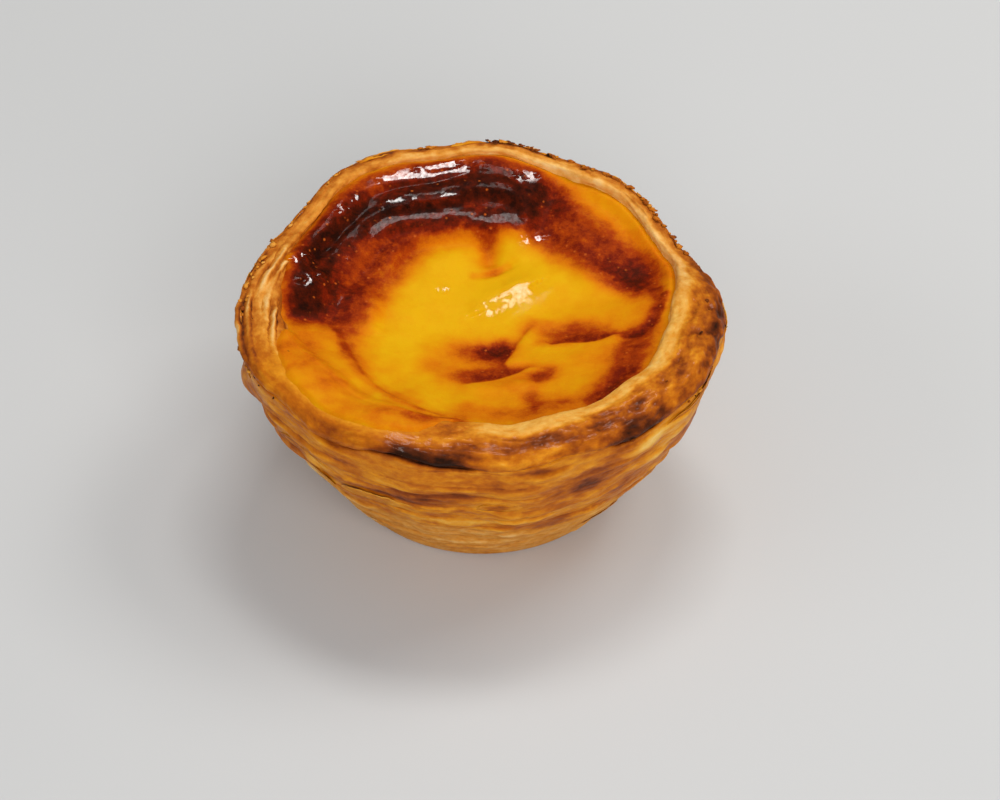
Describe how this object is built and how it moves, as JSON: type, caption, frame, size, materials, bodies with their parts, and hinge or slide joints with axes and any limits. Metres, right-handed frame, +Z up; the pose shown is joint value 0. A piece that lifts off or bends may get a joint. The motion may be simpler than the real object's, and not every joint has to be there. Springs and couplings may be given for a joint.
{
  "type": "portuguese custard tart",
  "caption": "Small baked custard tart: a flared flaky pastry cup with a rolled, uneven lip, filled with blistered egg custard.",
  "frame": {"origin": "centre of the flat base that the tart rests on", "axes": "+Z up, -Y towards the side where the pastry lip is thickest, +X to its right"},
  "size_m": [0.0744, 0.0727, 0.0357],
  "materials": {
    "pastry_shell": "buttery baked laminated pastry, golden brown with pale layer edges and dark tips",
    "custard": "glossy baked egg custard, yellow with a dark caramelised ring"
  },
  "bodies": {
    "root": {"pastry_shell": "pastry_shell", "custard": "custard"}
  },
  "joints": []
}
